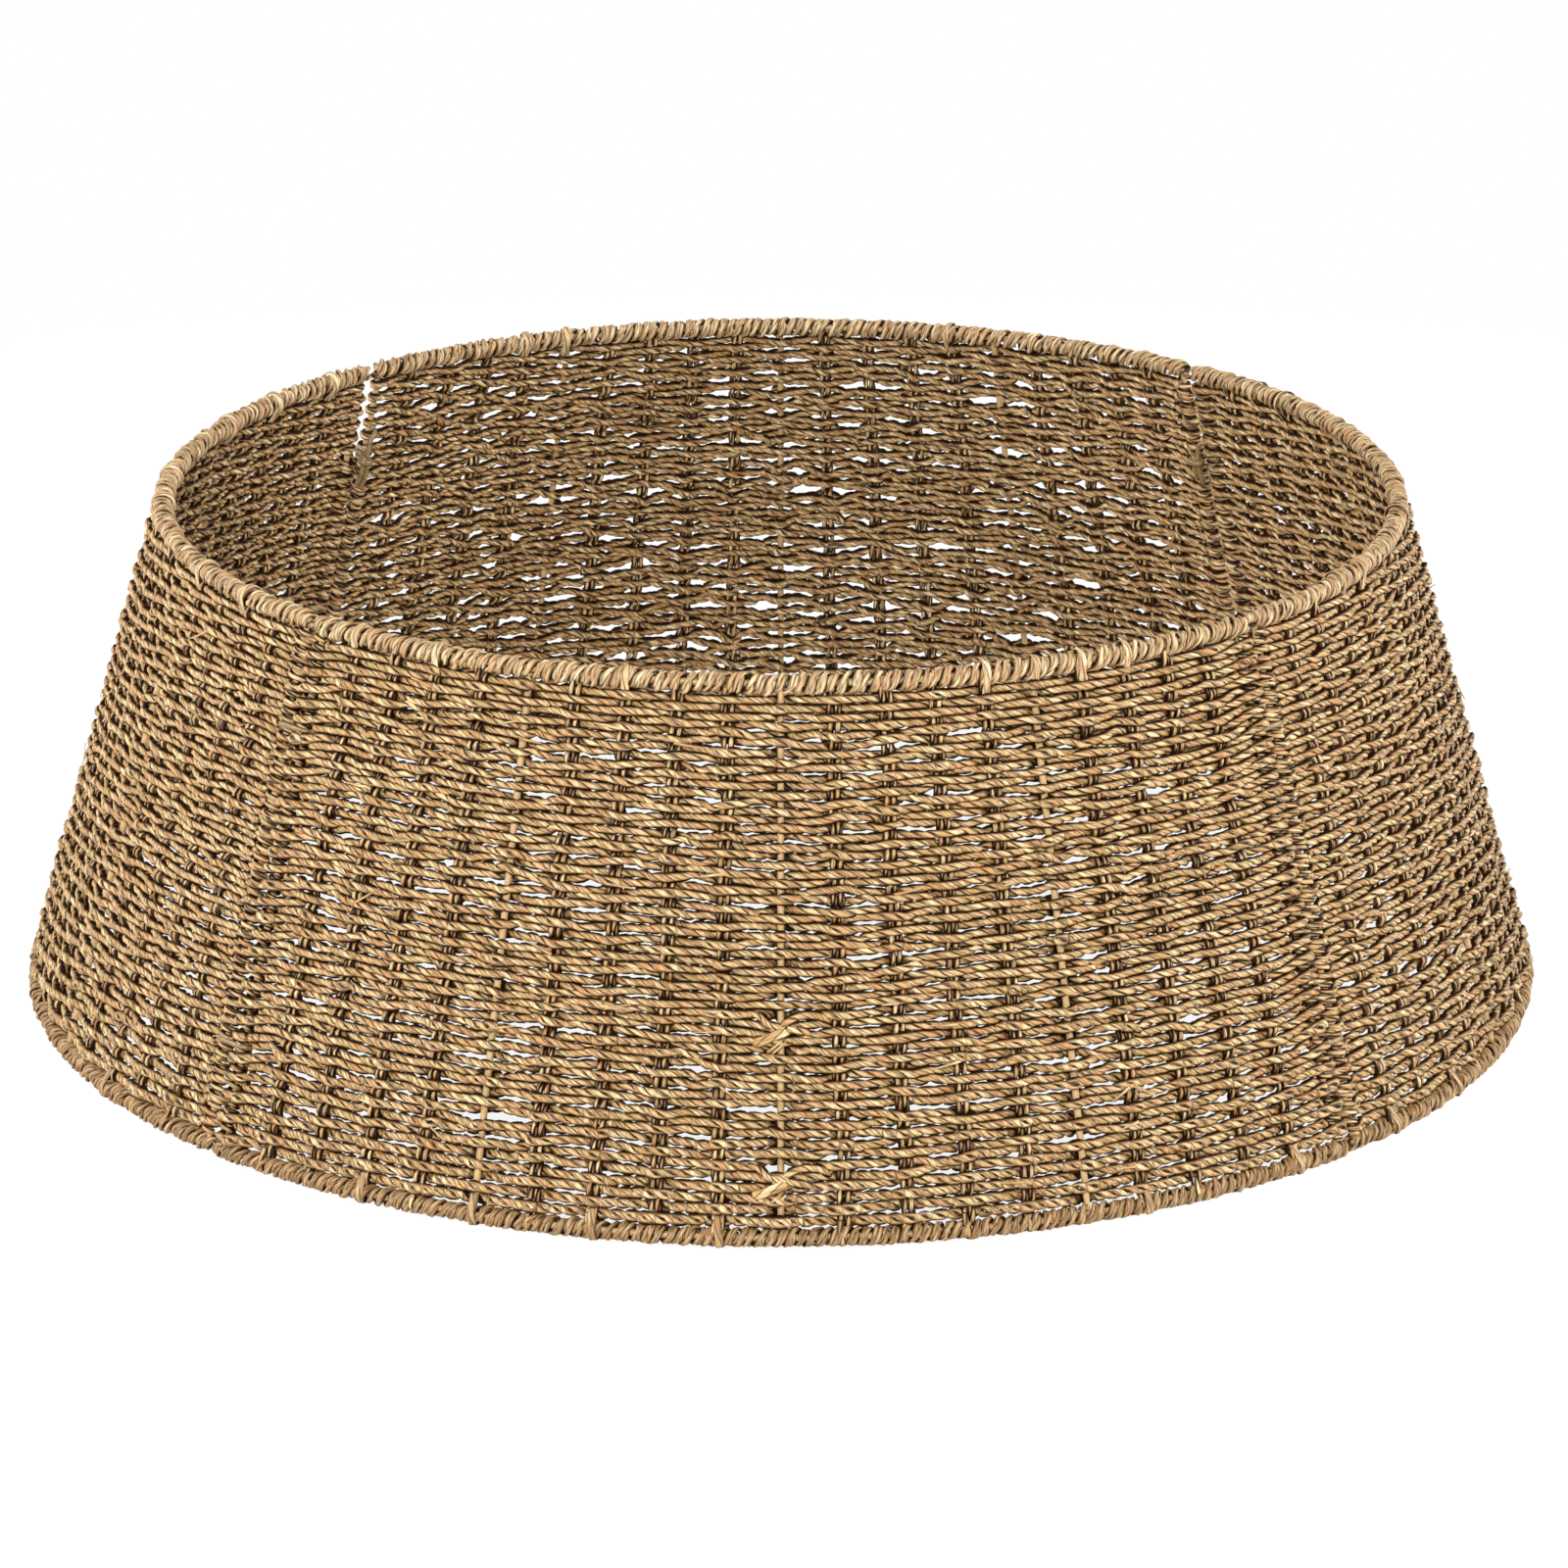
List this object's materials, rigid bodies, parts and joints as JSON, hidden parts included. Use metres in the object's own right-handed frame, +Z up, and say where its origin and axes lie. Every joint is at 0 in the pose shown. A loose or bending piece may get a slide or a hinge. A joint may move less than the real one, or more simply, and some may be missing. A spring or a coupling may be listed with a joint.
{
  "type": "christmas tree collar",
  "caption": "Woven seagrass collar, a truncated cone of curved wire-framed panels tied at slanted seams, that stands on the floor round a tree's foot and hides its stand.",
  "frame": {"origin": "on the floor in the middle of the base ring", "axes": "+Z up, from the wide base to the narrower mouth; the front panel faces -Y and the right panel +X"},
  "size_m": [0.6994, 0.6994, 0.23],
  "materials": {
    "frame_wire": "round wire with a tan coating, satin",
    "seagrass_weave": "two-ply twisted seagrass rope, plain woven, matt with a faint natural gloss",
    "seagrass_binding": "pale seagrass strands whipped round the rim wire, matt",
    "cord_tie": "smooth brown cord, satin"
  },
  "bodies": {
    "front": {"front_top_rim_wire": "frame_wire", "front_bottom_rim_wire": "frame_wire", "front_woven_mat": "seagrass_weave", "front_top_binding": "seagrass_binding", "front_bottom_binding": "seagrass_binding", "front_left_post": "frame_wire", "front_right_post": "frame_wire", "front_upright_1": "frame_wire", "front_upright_2": "frame_wire", "front_upright_3": "frame_wire", "front_right_lower_tie": "cord_tie", "front_right_upper_tie": "cord_tie", "front_left_lower_tie": "cord_tie", "front_left_upper_tie": "cord_tie"},
    "right": {"right_top_rim_wire": "frame_wire", "right_bottom_rim_wire": "frame_wire", "right_woven_mat": "seagrass_weave", "right_top_binding": "seagrass_binding", "right_bottom_binding": "seagrass_binding", "right_left_post": "frame_wire", "right_right_post": "frame_wire", "right_upright_1": "frame_wire", "right_upright_2": "frame_wire", "right_upright_3": "frame_wire", "back_right_lower_tie": "cord_tie", "back_right_upper_tie": "cord_tie"},
    "back": {"back_top_rim_wire": "frame_wire", "back_bottom_rim_wire": "frame_wire", "back_woven_mat": "seagrass_weave", "back_top_binding": "seagrass_binding", "back_bottom_binding": "seagrass_binding", "back_left_post": "frame_wire", "back_right_post": "frame_wire", "back_upright_1": "frame_wire", "back_upright_2": "frame_wire", "back_upright_3": "frame_wire", "back_left_lower_tie": "cord_tie", "back_left_upper_tie": "cord_tie"},
    "left": {"left_top_rim_wire": "frame_wire", "left_bottom_rim_wire": "frame_wire", "left_woven_mat": "seagrass_weave", "left_top_binding": "seagrass_binding", "left_bottom_binding": "seagrass_binding", "left_left_post": "frame_wire", "left_right_post": "frame_wire", "left_upright_1": "frame_wire", "left_upright_2": "frame_wire", "left_upright_3": "frame_wire"}
  },
  "joints": [
    {"name": "front_right_seam", "type": "hinge", "parent": "front", "child": "right", "pos_m": [0.24798, -0.24009, 0.00516], "axis": [0.1967, -0.1967, -0.9605], "range_deg": [0, 100]},
    {"name": "back_right_seam", "type": "hinge", "parent": "right", "child": "back", "pos_m": [0.24009, 0.24798, 0.00516], "axis": [0.1967, 0.1967, -0.9605], "range_deg": [0, 100]},
    {"name": "front_left_seam", "type": "hinge", "parent": "front", "child": "left", "pos_m": [-0.24798, -0.24009, 0.00516], "axis": [0.1967, 0.1967, 0.9605], "range_deg": [0, 100]}
  ]
}
